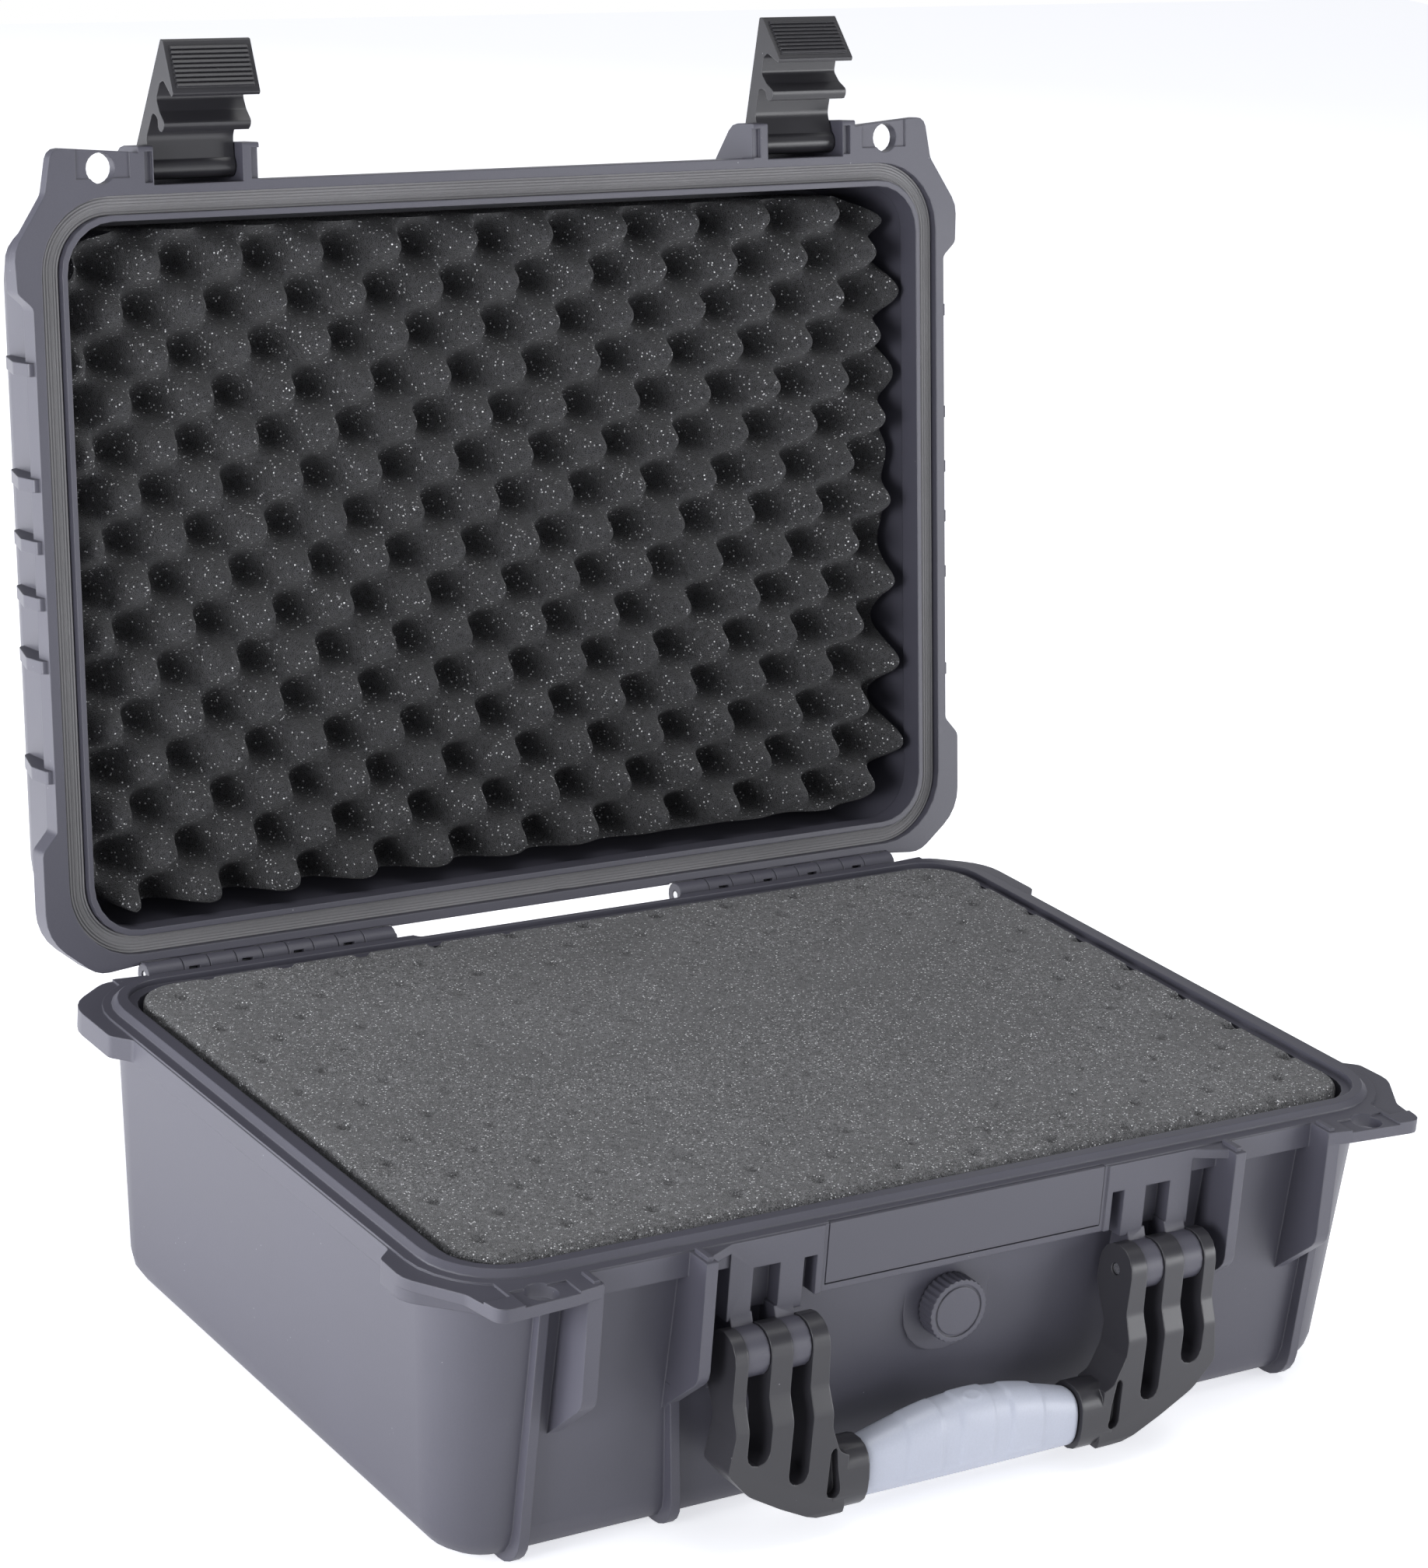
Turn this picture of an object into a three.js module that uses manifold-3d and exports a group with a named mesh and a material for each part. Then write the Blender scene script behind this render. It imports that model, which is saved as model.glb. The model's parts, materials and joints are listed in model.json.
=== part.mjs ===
// Hard equipment case: a deep moulded base and a shallow moulded lid on a two-group pin hinge,
// with a gasket, two snap latches, a folding carry handle, a pressure release valve and foam.
// Millimetres. X to the right, +Y to the hinge side, +Z up. The origin is the centre of the base's
// underside. The lid stands open on its stop, the latches are flipped out, the handle hangs down.

import * as THREE from 'three';
import { mergeVertices } from 'three/addons/utils/BufferGeometryUtils.js';
import Module from 'manifold-3d';

const wasm = await Module();
wasm.setup();

// ---------------------------------------------------------------- driving dimensions

const GAP = 0.3;                    // clearance between separate pieces
const PARTING = 112;                // height of the plane where base and lid meet
const LID_HEIGHT = 58;
const LID_OPEN = 99;                // degrees, on the stop

const RIM = { x: 204, y: 146.2 };   // half sizes of the rim, seen from above
const SKIRT = 9.5;                  // height of the rim's skirt on base and lid
const EAR_THICK = 5;
const WALL = { x: 199, y: 141.2, r: 31 };   // outside of the walls at the parting plane
const DRAFT = Math.tan(THREE.MathUtils.degToRad(4.5));
const FLOOR_FILLET = 14;
const WALL_THICK = 3.6;
const FLOOR_THICK = 4;
const MOUTH = { x: 190, y: 133, r: 19 };    // the opening inside the rim
const LIP_DEPTH = 12;               // depth of the thick lip round the mouth

const SEAL_OUT = { x: 200.1, y: 142.4, r: 28 };
const SEAL_IN = { x: 192, y: 135.3, r: 20.5 };
const GROOVE_DEPTH = 6;
const GASKET_BACK = 3;              // the gasket's face lies this far inside the lid's rim
const TONGUE = 2.6;                 // ridge on the base that meets the gasket

const HINGE = { y: 150.5, drop: 1.7, r: 5.1, pin: 1.6 };
const KNUCKLE_EDGES = [172.4, 157.4, 146.4, 135, 123.9, 112.9, 102, 91.3, 79.8, 65.5];

const FRONT = -146.5;               // front plane of the fascia
const EAR = { x0: 153.6, x1: 159.4, tip: -156.6 };
const WING = { x0: 110, x1: 114.5, tip: -157 };
const HOLE = { x: 175, y: -152.5, r: 5.8 };

const LATCH = { x: 135.5, half: 17.7, y: -151.5, z: 9.5, hub: 4.4, pin: 1.5 };
const LATCH_REST = { left: 58.5, right: 75 };   // degrees from closed, as the latches stand open
const BAND = 9.3;                   // height of the band that the latch hooks under

const HANDLE = { y: -151.5, z: PARTING - 39, r: 9.3, pin: 2 };
const GRIP = { half: 48, y: -155 };

const VALVE = { z: PARTING - 45, r: 12, knob: 7.4 };
const PLATE = { half: 58.5, top: PARTING - 0.4, bottom: PARTING - 22.7, thick: 1.4 };

// ---------------------------------------------------------------- solids

function solidOf(geometry) {
  const bare = geometry.index ? geometry.toNonIndexed() : geometry;
  bare.deleteAttribute('normal');
  bare.deleteAttribute('uv');
  const merged = mergeVertices(bare, 1e-4);
  return new wasm.Manifold(new wasm.Mesh({
    numProp: 3,
    vertProperties: new Float32Array(merged.attributes.position.array),
    triVerts: new Uint32Array(merged.index.array),
  }));
}

function join(...solids) {
  return solids.flat().reduce((whole, piece) => whole.add(piece));
}

function cut(body, ...tools) {
  return tools.flat().reduce((whole, tool) => whole.subtract(tool), body);
}

function geometryOf(solid) {
  const mesh = solid.getMesh();
  const geometry = new THREE.BufferGeometry();
  geometry.setAttribute('position', new THREE.BufferAttribute(mesh.vertProperties, 3));
  geometry.setIndex(new THREE.BufferAttribute(mesh.triVerts, 1));
  return geometry;
}

// A closed outline from corner points [a, b, radius]; a radius rounds the corner with an arc.
function outline(corners) {
  const points = [];
  corners.forEach(([a, b, radius = 0], i) => {
    const corner = new THREE.Vector2(a, b);
    if (radius === 0) {
      points.push(corner);
      return;
    }
    const before = corners[(i + corners.length - 1) % corners.length];
    const after = corners[(i + 1) % corners.length];
    const toBefore = new THREE.Vector2(before[0] - a, before[1] - b).normalize();
    const toAfter = new THREE.Vector2(after[0] - a, after[1] - b).normalize();
    const half = Math.acos(THREE.MathUtils.clamp(toBefore.dot(toAfter), -1, 1)) / 2;
    const centre = toBefore.clone().add(toAfter).normalize().multiplyScalar(radius / Math.sin(half));
    centre.add(corner);
    const start = toBefore.clone().multiplyScalar(radius / Math.tan(half)).add(corner).sub(centre);
    const end = toAfter.clone().multiplyScalar(radius / Math.tan(half)).add(corner).sub(centre);
    const sweep = Math.atan2(start.cross(end), start.dot(end));
    const steps = Math.max(2, Math.ceil(Math.abs(sweep) * Math.sqrt(radius) / 1.3));
    for (let k = 0; k <= steps; k += 1) {
      points.push(start.clone().rotateAround(new THREE.Vector2(), sweep * k / steps).add(centre));
    }
  });
  return points;
}

function extruded(points, depth) {
  return new THREE.ExtrudeGeometry(new THREE.Shape(points), { depth, bevelEnabled: false });
}

// A plan outline (x, y) extruded upward.
function slab(points, z0, z1) {
  return solidOf(extruded(points, z1 - z0).translate(0, 0, z0));
}

// A side profile (y, z) extruded along X. A lean shifts it by that much in X per unit of height.
function acrossX(profile, x0, x1, lean = 0) {
  const toSide = new THREE.Matrix4().makeBasis(
    new THREE.Vector3(0, 1, 0), new THREE.Vector3(lean, 0, 1), new THREE.Vector3(1, 0, 0));
  return solidOf(extruded(profile, x1 - x0).applyMatrix4(toSide).translate(x0, 0, 0));
}

// A front profile (x, z) extruded along Y from y0 back to y1.
function alongY(profile, y0, y1) {
  const toFront = new THREE.Matrix4().makeBasis(
    new THREE.Vector3(1, 0, 0), new THREE.Vector3(0, 0, 1), new THREE.Vector3(0, -1, 0));
  return solidOf(extruded(profile, y1 - y0).applyMatrix4(toFront).translate(0, y1, 0));
}

function block(x0, x1, y0, y1, z0, z1) {
  const box = new THREE.BoxGeometry(x1 - x0, y1 - y0, z1 - z0);
  return solidOf(box.translate((x0 + x1) / 2, (y0 + y1) / 2, (z0 + z1) / 2));
}

function rodX(radius, x0, x1, y, z, sides = 20) {
  const rod = new THREE.CylinderGeometry(radius, radius, x1 - x0, sides);
  return solidOf(rod.rotateZ(Math.PI / 2).translate((x0 + x1) / 2, y, z));
}

function rodY(radius, y0, y1, x, z, sides = 28) {
  const rod = new THREE.CylinderGeometry(radius, radius, y1 - y0, sides);
  return solidOf(rod.translate(x, (y0 + y1) / 2, z));
}

function rodZ(radius, z0, z1, x, y, sides = 20) {
  const rod = new THREE.CylinderGeometry(radius, radius, z1 - z0, sides);
  return solidOf(rod.rotateX(Math.PI / 2).translate(x, y, (z0 + z1) / 2));
}

function rectangle({ x, y, r }) {
  return outline([[-x, -y, r], [x, -y, r], [x, y, r], [-x, y, r]]);
}

// A closed skin through rings of equally many points, from the lowest ring to the highest.
function loft(rings) {
  const count = rings[0].length;
  const vertices = rings.flat();
  const faces = [];
  for (let level = 0; level < rings.length - 1; level += 1) {
    for (let i = 0; i < count; i += 1) {
      const a = level * count + i;
      const b = level * count + (i + 1) % count;
      faces.push(a, b, b + count, a, b + count, a + count);
    }
  }
  const top = (rings.length - 1) * count;
  for (let i = 1; i < count - 1; i += 1) {
    faces.push(0, i + 1, i);
    faces.push(top, top + i, top + i + 1);
  }
  const geometry = new THREE.BufferGeometry().setFromPoints(vertices);
  geometry.setIndex(faces);
  return solidOf(geometry);
}

// One level ring of a drafted tub, with the same number of points whatever its corner radius.
function tubRing({ x, y, r }, z) {
  const steps = 7;
  const ring = [];
  [[1, 1], [-1, 1], [-1, -1], [1, -1]].forEach(([sx, sy], corner) => {
    for (let k = 0; k <= steps; k += 1) {
      const angle = (Math.PI / 2) * (corner + k / steps);
      ring.push(new THREE.Vector3(
        sx * (x - r) + r * Math.cos(angle), sy * (y - r) + r * Math.sin(angle), z));
    }
  });
  return ring;
}

// A drafted tub: rounded rectangles that grow from the floor to the mouth, with a rounded floor
// edge. The size is given at height top, and inset moves every wall inwards.
function tub(bottom, top, inset, fillet) {
  const ringAt = (z, shrink) => {
    const side = inset + shrink + (top - z) * DRAFT;
    return tubRing({ x: WALL.x - side, y: WALL.y - side, r: Math.max(WALL.r - side, 6) }, z);
  };
  const rings = [];
  const steps = 4;
  for (let k = 0; k <= steps; k += 1) {
    const angle = (Math.PI / 2) * (k / steps);
    rings.push(ringAt(bottom + fillet * (1 - Math.cos(angle)), fillet * (1 - Math.sin(angle))));
  }
  rings.push(ringAt(top, 0));
  return loft(rings);
}

function mirrored(solid) {
  return solid.mirror([1, 0, 0]);
}

function bothSides(make) {
  const right = make();
  return [right, mirrored(right)];
}

// ---------------------------------------------------------------- outlines shared by both shells

// The rim seen from above: straight sides, a bumper at each corner and a padlock ear at the front.
function rimOutline() {
  const half = [
    [EAR.x0, -RIM.y, 0],
    [EAR.x0, EAR.tip, 1],
    [164, EAR.tip - 1.6, 4],
    [194.5, -160.6, 4.5],
    [197.6, -143.6, 6],
    [210.6, -124, 12],
    [210, -108.5, 3],
    [RIM.x, -103, 3],
    [RIM.x, 92, 3],
    [210.2, 99, 4],
    [210.2, 132, 20],
    [190, 148.2, 12],
    [172.6, 146.6, 2],
    [168, RIM.y, 0],
  ];
  const left = half.map(([x, y, r]) => [-x, y, r]).reverse();
  return outline([...half, ...left]);
}

// The rim without its ears, for the taller skirt under it.
function skirtOutline() {
  const half = [
    [188, -RIM.y, 14],
    [210.6, -124, 12],
    [210, -108.5, 3],
    [RIM.x, -103, 3],
    [RIM.x, 92, 3],
    [210.2, 99, 4],
    [210.2, 132, 20],
    [190, 148.2, 12],
    [172.6, 146.6, 2],
    [168, RIM.y, 0],
  ];
  const left = half.map(([x, y, r]) => [-x, y, r]).reverse();
  return outline([...half, ...left]);
}

function hingeKnuckles(first, z, toward) {
  const knuckles = [];
  for (let i = first; i < KNUCKLE_EDGES.length - 1; i += 2) {
    const outer = KNUCKLE_EDGES[i] - GAP / 2;
    const inner = KNUCKLE_EDGES[i + 1] + GAP / 2;
    const barrel = rodX(HINGE.r, inner, outer, HINGE.y, z, 14);
    const web = acrossX(outline([
      [RIM.y - 5, z + toward * 9],
      [RIM.y - 5, z + toward * 4],
      [HINGE.y - 2, z + toward * 2.5],
      [HINGE.y + 3.6, z + toward * 3.4],
      [RIM.y - 0.5, z + toward * 9],
    ]), inner, outer);
    knuckles.push(cut(join(barrel, web), knuckleOpening(inner, outer, z, toward)));
  }
  return knuckles;
}

// The base's knuckles have a slit along the top, the lid's a window that bares the pin.
function knuckleOpening(inner, outer, z, toward) {
  const width = outer - inner;
  if (toward < 0) {
    return block(inner + width * 0.25, outer - width * 0.25, HINGE.y + 0.2, HINGE.y + 1.4, z + 3.4, z + 9);
  }
  return block(inner + width * 0.4, inner + width * 0.82, HINGE.y - 2.1, HINGE.y - 0.5, z - 9, z - 1);
}

// Room in the rim for the barrels, which reach over its edge.
function barrelRoom(z) {
  const room = rodX(HINGE.r + GAP, KNUCKLE_EDGES.at(-1) - 1, KNUCKLE_EDGES[0] + GAP, HINGE.y, z, 14);
  return [room, mirrored(room)];
}

function hingeBores(z) {
  const bore = rodX(HINGE.pin + GAP + 0.05, 60, 176, HINGE.y, z, 12);
  return [bore, mirrored(bore)];
}

// ---------------------------------------------------------------- base

function sideFin({ x0, x1, tip }, bottom) {
  return acrossX(outline([
    [-138, PARTING - 0.5],
    [tip, PARTING - 0.5, 0.6],
    [tip, PARTING - bottom + 6, 7],
    [-135.5, PARTING - bottom - 13],
    [-130, PARTING - bottom - 13],
    [-130, PARTING - 0.5],
  ]), x0, x1);
}

// Stiffening rib: follows the drafted front wall and wraps under the floor edge.
function wallRib(x0, x1, top, proud, slant) {
  const lean = (PARTING - FLOOR_FILLET) * DRAFT;
  const wallTop = -WALL.y - proud;
  const wallFoot = -WALL.y + lean - proud;
  return acrossX(outline([
    [wallTop + (PARTING - top) * DRAFT, top],
    [wallFoot - 0.6, 0.1, FLOOR_FILLET - 1],
    [-104, 0.1],
    [-104, 8],
    [-WALL.y + lean + 2, 18],
    [-WALL.y + 6, top],
  ]), x0, x1, slant);
}

function handleBracket() {
  const face = outline([
    [60.6, PARTING - 0.5], [60.6, PARTING - 25.7], [68.4, PARTING - 25.7], [68.4, PARTING - 29],
    [98.4, PARTING - 29], [98.4, PARTING - 0.5],
  ]);
  const bracket = alongY(face, FRONT - 0.6, -134);
  const window = block(78, 89, FRONT - 3, -140.5, PARTING - 40, PARTING - 11);
  const slot = block(63, 68.4, FRONT - 3, -140.5, PARTING - 40, PARTING - 11);
  const knuckles = [[71.6, 79.2], [88.3, 97.1]].map(([x0, x1]) => join(
    rodX(HANDLE.r - 0.6, x0, x1, HANDLE.y, HANDLE.z, 18),
    acrossX(outline([
      [HANDLE.y + 3, HANDLE.z + 8],
      [HANDLE.y + 3, HANDLE.z - 8],
      [-134, HANDLE.z - 22],
      [-134, PARTING - 27],
      [FRONT - 0.4, PARTING - 27],
    ]), x0, x1),
  ));
  return join(cut(bracket, window, slot), knuckles);
}

function baseShell() {
  const skirt = slab(skirtOutline(), PARTING - SKIRT, PARTING);
  const rim = slab(rimOutline(), PARTING - EAR_THICK, PARTING);
  const body = tub(0, PARTING, 0, FLOOR_FILLET);
  const hinge = PARTING - HINGE.drop;

  const latchBand = block(WING.x1 - 2, EAR.x0 + 2, FRONT, -136, PARTING - BAND, PARTING - 0.5);
  const earPlate = sideFin(EAR, 50);
  const wing = sideFin(WING, 50);
  const gusset = slab(outline([[97, FRONT], [WING.x0 + 1, -153], [WING.x0 + 1, -138], [97, -138]]),
    PARTING - 4, PARTING - 0.5);
  const tab = (x) => block(x, x + 2.2, -155.5, -147.2, PARTING - 2, PARTING + 1.1);
  const ribs = [
    wallRib(164.6, 168.4, PARTING - 2, 3.4, 0.012),
    wallRib(103.6, 107.4, PARTING - 52, 3.4, 0.12),
  ];
  const side = [latchBand, earPlate, wing, gusset, tab(WING.x0 + 1.1), tab(EAR.x0 + 1.2),
    ...ribs, handleBracket()];
  const right = join(side);
  const knuckles = join(hingeKnuckles(0, hinge, -1));

  const fascia = block(-61, 61, FRONT, -134, PARTING - 25.7, PARTING - 0.5);
  const plateSeat = block(-PLATE.half - GAP, PLATE.half + GAP, FRONT - 1, FRONT + PLATE.thick + GAP,
    PLATE.bottom - 2 * GAP, PARTING + 1);
  const valvePad = alongY(outline([
    [-18, PARTING - 24], [-18, VALVE.z - 18, 17], [18, VALVE.z - 18, 17], [18, PARTING - 24],
  ]), -WALL.y - 0.6 + 45 * DRAFT, -134);
  const valveBore = rodY(5.4, -150, -125, 0, VALVE.z);

  const mouth = slab(rectangle(MOUTH), PARTING - LIP_DEPTH - 1, PARTING + 9);
  const cavity = tub(FLOOR_THICK, PARTING - LIP_DEPTH, WALL_THICK + LIP_DEPTH * DRAFT, 10);
  const tongue = cut(loft([
    rectangle({ x: SEAL_OUT.x - 0.4, y: SEAL_OUT.y - 0.4, r: SEAL_OUT.r }).map((p) => lift(p, -1)),
    rectangle({ x: SEAL_OUT.x - 0.4, y: SEAL_OUT.y - 0.4, r: SEAL_OUT.r }).map((p) => lift(p, 0.4)),
    rectangle({ x: SEAL_OUT.x - 2, y: SEAL_OUT.y - 2, r: SEAL_OUT.r }).map((p) => lift(p, TONGUE)),
  ]), slab(rectangle({ x: SEAL_IN.x + 1, y: SEAL_IN.y + 1, r: SEAL_IN.r }), PARTING, PARTING + 9));

  const earRecess = slab(outline([[163.5, -148.8], [163.5, -165], [185, -165], [185, -148.8]]),
    PARTING - 0.8, PARTING + 2);
  const bumper = cut(
    slab(outline([[186.5, -152], [216, -152], [216, 152], [186.5, 152]]), PARTING - 0.9, PARTING + 4),
    slab(rectangle({ x: RIM.x - 0.4, y: RIM.y - 0.4, r: 33 }), PARTING - 2, PARTING + 6),
  );
  const rearRelief = slab(outline([
    [-66, 165], [-66, 147], [-60, 137.8, 2], [60, 137.8, 2], [66, 147], [66, 165],
  ]), PARTING - 8, PARTING + 6);
  const padlock = rodZ(HOLE.r, PARTING - 20, PARTING + 5, HOLE.x, HOLE.y);
  const pinWay = rodX(HANDLE.pin + GAP, 60, 105, HANDLE.y, HANDLE.z, 12);

  const moulding = cut(join(body, skirt, rim, tongue), barrelRoom(hinge));
  return cut(
    join(moulding, right, mirrored(right), fascia, valvePad, knuckles, mirrored(knuckles)),
    mouth, cavity, plateSeat, valveBore, rearRelief,
    bothSides(() => earRecess), bothSides(() => bumper), bothSides(() => padlock),
    bothSides(() => pinWay),
    hingeBores(hinge),
  );
}

function lift(point, above) {
  return new THREE.Vector3(point.x, point.y, PARTING + above);
}

// ---------------------------------------------------------------- lid, drawn closed with its
// parting face at height 0 and its outside up

function lidShell() {
  const skirt = slab(skirtOutline(), 0, SKIRT);
  const rim = slab(rimOutline(), 0, EAR_THICK);
  const dome = tub(0, LID_HEIGHT, 0, FLOOR_FILLET).mirror([0, 0, 1]).translate([0, 0, LID_HEIGHT]);
  const cheek = (x0, x1) => {
    const top = 29;
    return acrossX(outline([
      [-136, 0], [-160, 0, 0.8], [-160, 16, 9], [-145, top, 3], [-136, top],
    ]), x0, x1);
  };
  const cheeks = [cheek(WING.x0 + 0.6, 117.3), cheek(153.9, 160)];
  const bayRoof = block(116, 155, -153, -137, 20.6, 22.8);
  const sideRibs = [-80.5, -38, -15, 6, 29.5, 71].map((y) => alongY(outline([
    [192, 1.5], [206.4, 1.5, 1.5], [206.4, 16, 9], [198, 42, 5], [192, 44],
  ]), y - 2.4, y + 2.4));
  const right = join(cheeks, bayRoof, sideRibs);
  const knuckles = join(hingeKnuckles(1, -HINGE.drop, 1));
  const topPanel = slab(rectangle({ x: 150, y: 92, r: 16 }), LID_HEIGHT - 3, LID_HEIGHT + 1.6);

  const mouth = slab(rectangle(MOUTH), -2, LIP_DEPTH);
  const hollow = tub(0, LID_HEIGHT, WALL_THICK + 1, 10)
    .mirror([0, 0, 1]).translate([0, 0, LID_HEIGHT])
    .intersect(slab(rectangle({ x: 300, y: 300, r: 5 }), LIP_DEPTH - 1, LID_HEIGHT - 4));
  const groove = cut(slab(rectangle(SEAL_OUT), -2, GROOVE_DEPTH), slab(rectangle(SEAL_IN), -3, 9));
  const latchBay = block(117.3, 153.9, -175, -145.7, -1, 20.5);
  const tabWay = (x) => block(x - 0.5, x + 2.7, -158, -146.6, -1, 1.5);
  const padlock = rodZ(HOLE.r, -5, 20, HOLE.x, HOLE.y);
  const pinWay = rodX(LATCH.pin + GAP, 112.3, 157, LATCH.y, LATCH.z, 12);
  const earRecess = slab(outline([[163.5, -148.8], [163.5, -165], [185, -165], [185, -148.8]]), -1, 0.6);
  const cuts = [latchBay, tabWay(WING.x0 + 1.1), tabWay(EAR.x0 + 1.2), earRecess, padlock, pinWay];
  const moulding = cut(join(dome, skirt, rim), barrelRoom(-HINGE.drop));
  return cut(
    join(moulding, right, mirrored(right), topPanel, knuckles, mirrored(knuckles)),
    mouth, hollow, groove, cuts, cuts.map(mirrored), hingeBores(-HINGE.drop),
  );
}

function lidGasket() {
  const out = { x: SEAL_OUT.x - GAP, y: SEAL_OUT.y - GAP, r: SEAL_OUT.r };
  const inside = { x: SEAL_IN.x + GAP, y: SEAL_IN.y + GAP, r: SEAL_IN.r };
  return cut(slab(rectangle(out), GASKET_BACK, GROOVE_DEPTH - GAP), slab(rectangle(inside), 0, 9));
}

// ---------------------------------------------------------------- latch: one moulded section,
// drawn hanging from its pin at the origin: -z is towards the tip, +y is the side of the case

function latch() {
  const section = outline([
    [-9.5, 2, 3], [-9.4, -49.6, 0.8], [-7.6, -50.2, 0.8],
    [8.6, -37.4, 0.9], [8.2, -35.8, 0.6],
    [-0.6, -37.4, 1.2], [-2.8, -35, 1.4],
    [-2.9, -28.4, 2], [1.6, -25.6, 2],
    [7.3, -24, 1.6], [7.4, -19.4, 2.2], [2.7, -19.4, 2.2],
    [2.3, -22.6, 2], [-3.3, -22.6, 2],
    [-3.4, -11, 5], [1.6, -3.5], [1.6, 3.5], [-1, 4.4],
  ]);
  const hub = rodX(LATCH.hub, -LATCH.half, LATCH.half, 0, 0, 22);
  const ridges = [];
  for (let k = 0; k < 9; k += 1) {
    const y = -4.9 + 1.4 * k;
    const z = -47.9 + 1.107 * k;
    ridges.push(acrossX(outline([
      [y + 0.62, z - 0.23], [y + 0.9, z - 0.85], [y - 0.1, z - 1.3], [y - 0.62, z - 1.23], [y, z + 0.6],
    ]), -LATCH.half + 2, LATCH.half - 2));
  }
  const bar = join(acrossX(section, -LATCH.half, LATCH.half), hub, ridges);
  return cut(bar, rodX(LATCH.pin + GAP, -20, 20, 0, 0, 12));
}

// ---------------------------------------------------------------- handle

function handleArm() {
  const profile = outline([
    [HANDLE.y - 9.4, HANDLE.z + 9.3, 9.2], [HANDLE.y - 9.4, PARTING - 53, 7],
    [-164.6, PARTING - 62, 7], [-163.6, PARTING - 104, 4], [-147.2, PARTING - 104, 6],
    [-149.4, PARTING - 60, 6], [HANDLE.y + 9.2, HANDLE.z - 8, 6], [HANDLE.y + 9.2, HANDLE.z + 9.3, 9.2],
  ]);
  const blank = acrossX(profile, 40, 112);
  const front = alongY(outline([
    [65, PARTING - 25], [102.4, PARTING - 25], [102.6, PARTING - 64], [104.5, PARTING - 77, 4],
    [95.5, PARTING - 87, 14], [81.5, PARTING - 95, 24], [66, PARTING - 102.6, 22],
    [55, PARTING - 103], [55, PARTING - 80], [59, PARTING - 78, 5], [63, PARTING - 68, 6],
  ]), -175, -135);
  const collar = acrossX(gripSide(1, 1), GRIP.half - 2, 60);
  const arm = join(blank.intersect(front), collar);
  const recess = alongY(outline([
    [60.6, PARTING - 74, 1], [57.4, PARTING - 95.5, 2.4], [63, PARTING - 95.5, 2.4],
    [62.8, PARTING - 78, 2],
  ]), -175, -160);
  const slots = [slot(88, 97.4, PARTING - 76), slot(71.3, 79.5, PARTING - 87)];
  return cut(arm, slots, recess);
}

// The space between two fingers, open at the top with a round foot.
function slot(x0, x1, foot) {
  const r = (x1 - x0) / 2 - 0.05;
  return alongY(outline([
    [x0, PARTING - 20], [x0, foot, r], [x1, foot, r], [x1, PARTING - 20],
  ]), -175, -135);
}

function gripSection(t, swell) {
  const bulge = Math.cos(t * Math.PI / 2);
  const low = PARTING - 102.2 - swell;
  const high = PARTING - 79.6 + 8.4 * bulge + swell;
  const depth = 8.6 + 1.6 * bulge + swell;
  return { y: GRIP.y, z: (low + high) / 2, a: depth, b: (high - low) / 2 };
}

// The grip's section at t as points (y, z) of a squarish ellipse.
function gripSide(t, swell) {
  const section = gripSection(t, swell);
  const sides = 18;
  const round = 2 / 2.5;
  const points = [];
  for (let i = 0; i < sides; i += 1) {
    const angle = 2 * Math.PI * i / sides;
    const c = Math.sign(Math.cos(angle)) * Math.abs(Math.cos(angle)) ** round;
    const s = Math.sign(Math.sin(angle)) * Math.abs(Math.sin(angle)) ** round;
    points.push(new THREE.Vector2(section.y + section.a * c, section.z + section.b * s));
  }
  return points;
}

function gripLoft(half, swell) {
  const steps = 8;
  const rings = [];
  for (let k = 0; k <= steps; k += 1) {
    const t = -1 + 2 * k / steps;
    rings.push(gripSide(t, swell).map(({ x, y }) => new THREE.Vector3(t * half, x, y)));
  }
  return loft(rings);
}

function handleFrame() {
  const arm = handleArm();
  const core = gripLoft(GRIP.half + 1, -3);
  return cut(join(arm, mirrored(arm), core), bothSides(() => rodX(HANDLE.pin + GAP, 60, 101,
    HANDLE.y, HANDLE.z, 12)));
}

function handleGrip() {
  return cut(gripLoft(GRIP.half - 2.3, 0), gripLoft(GRIP.half + 1, -3 + GAP));
}

// ---------------------------------------------------------------- valve

function valveKnob() {
  const back = -WALL.y + 45 * DRAFT - 1.2;
  const teeth = 32;
  const rim = [];
  for (let i = 0; i < teeth * 2; i += 1) {
    const angle = Math.PI * i / teeth;
    const r = VALVE.r - (i % 2) * 0.5;
    rim.push(new THREE.Vector2(r * Math.cos(angle), VALVE.z + r * Math.sin(angle)));
  }
  const disc = alongY(rim, back - VALVE.knob, back);
  const stem = rodY(3.6, back - 1, -132.6, 0, VALVE.z, 16);
  const front = back - VALVE.knob;
  const groove = cut(rodY(9.9, front - 1, front + 0.5, 0, VALVE.z, 22),
    rodY(9.1, front - 2, front + 1, 0, VALVE.z, 22));
  return cut(join(disc, stem), groove);
}

function valveSeal() {
  const ring = new THREE.TorusGeometry(4.55, 0.6, 6, 18);
  const at = -WALL.y + 45 * DRAFT + 1.6;
  return solidOf(ring.rotateX(Math.PI / 2).translate(0, at, VALVE.z));
}

// ---------------------------------------------------------------- scene graph

const group = new THREE.Group();

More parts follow.
